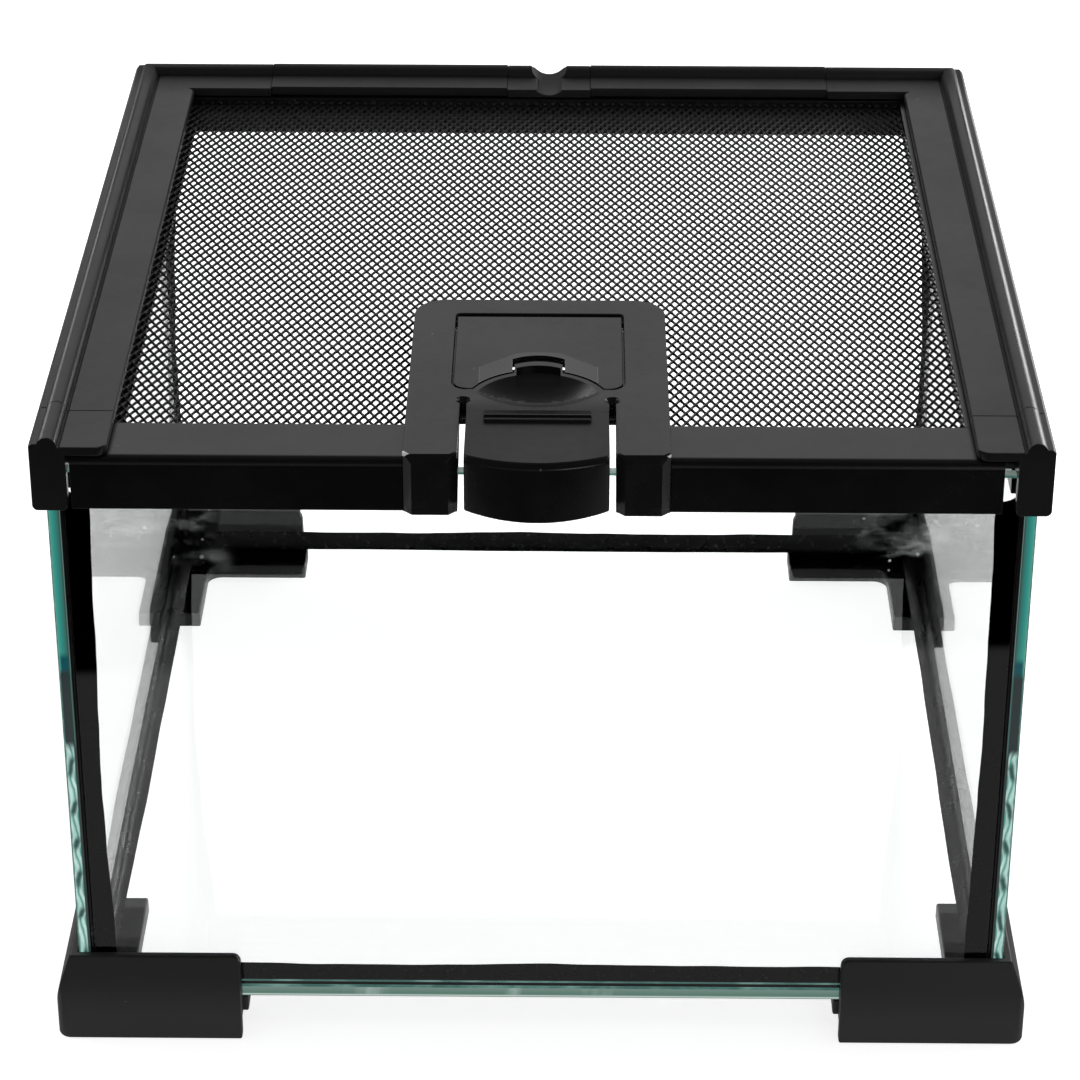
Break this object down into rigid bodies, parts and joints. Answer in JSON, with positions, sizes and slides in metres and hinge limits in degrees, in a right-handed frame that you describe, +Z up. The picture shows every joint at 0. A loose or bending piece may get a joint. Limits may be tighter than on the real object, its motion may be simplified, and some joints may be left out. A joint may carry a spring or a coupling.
{
  "type": "reptile terrarium",
  "caption": "Small glass terrarium on corner feet, with a plastic top frame, a sliding mesh lid, a sprung lid catch and a hinged feeding door.",
  "frame": {"origin": "on the surface that the feet stand on, under the middle of the glass box", "axes": "+Z up, +Y towards the back, +X to the right seen from the front; the lid slides out towards -Y"},
  "size_m": [0.2112, 0.214, 0.1467],
  "materials": {
    "clear_glass": "clear float glass with green polished edges",
    "silicone": "black silicone sealant, glossy",
    "frame_plastic": "black extruded and moulded plastic, satin",
    "foot_plastic": "black moulded plastic, satin",
    "latch_plastic": "black moulded plastic, satin with a fine texture",
    "mesh": "black coated expanded metal"
  },
  "bodies": {
    "tank": {"floor_pane": "clear_glass", "front_pane": "clear_glass", "back_pane": "clear_glass", "left_pane": "clear_glass", "right_pane": "clear_glass", "corner_seal_front_left": "silicone", "corner_seal_front_right": "silicone", "corner_seal_rear_left": "silicone", "corner_seal_rear_right": "silicone", "floor_seal": "silicone", "foot_front_left": "foot_plastic", "foot_front_right": "foot_plastic", "foot_rear_left": "foot_plastic", "foot_rear_right": "foot_plastic", "rail_left": "frame_plastic", "rail_right": "frame_plastic", "front_corner_left": "frame_plastic", "front_corner_right": "frame_plastic", "rear_rail_left": "frame_plastic", "rear_rail_right": "frame_plastic", "cable_port": "frame_plastic"},
    "lid": {"lid_front_bar": "frame_plastic", "lid_left_runner": "frame_plastic", "lid_right_runner": "frame_plastic", "lid_rear_bar": "frame_plastic", "lid_mesh": "mesh", "latch_plate": "latch_plastic"},
    "latch_tongue": {"latch_tongue": "latch_plastic"},
    "feeding_door": {"feeding_door": "latch_plastic"}
  },
  "joints": [
    {"name": "lid_slide", "type": "slide", "parent": "tank", "child": "lid", "axis": [0, -1, 0], "range_m": [0, 0.18]},
    {"name": "latch_flex", "type": "hinge", "parent": "lid", "child": "latch_tongue", "pos_m": [-0.001, -0.0845, 0.1439], "axis": [-1, 0, 0], "range_deg": [0, 8], "stiffness_Nm_per_rad": 0.6},
    {"name": "door_hinge", "type": "hinge", "parent": "lid", "child": "feeding_door", "pos_m": [-0.001, -0.0402, 0.1422], "axis": [-1, 0, 0], "range_deg": [0, 95]}
  ]
}
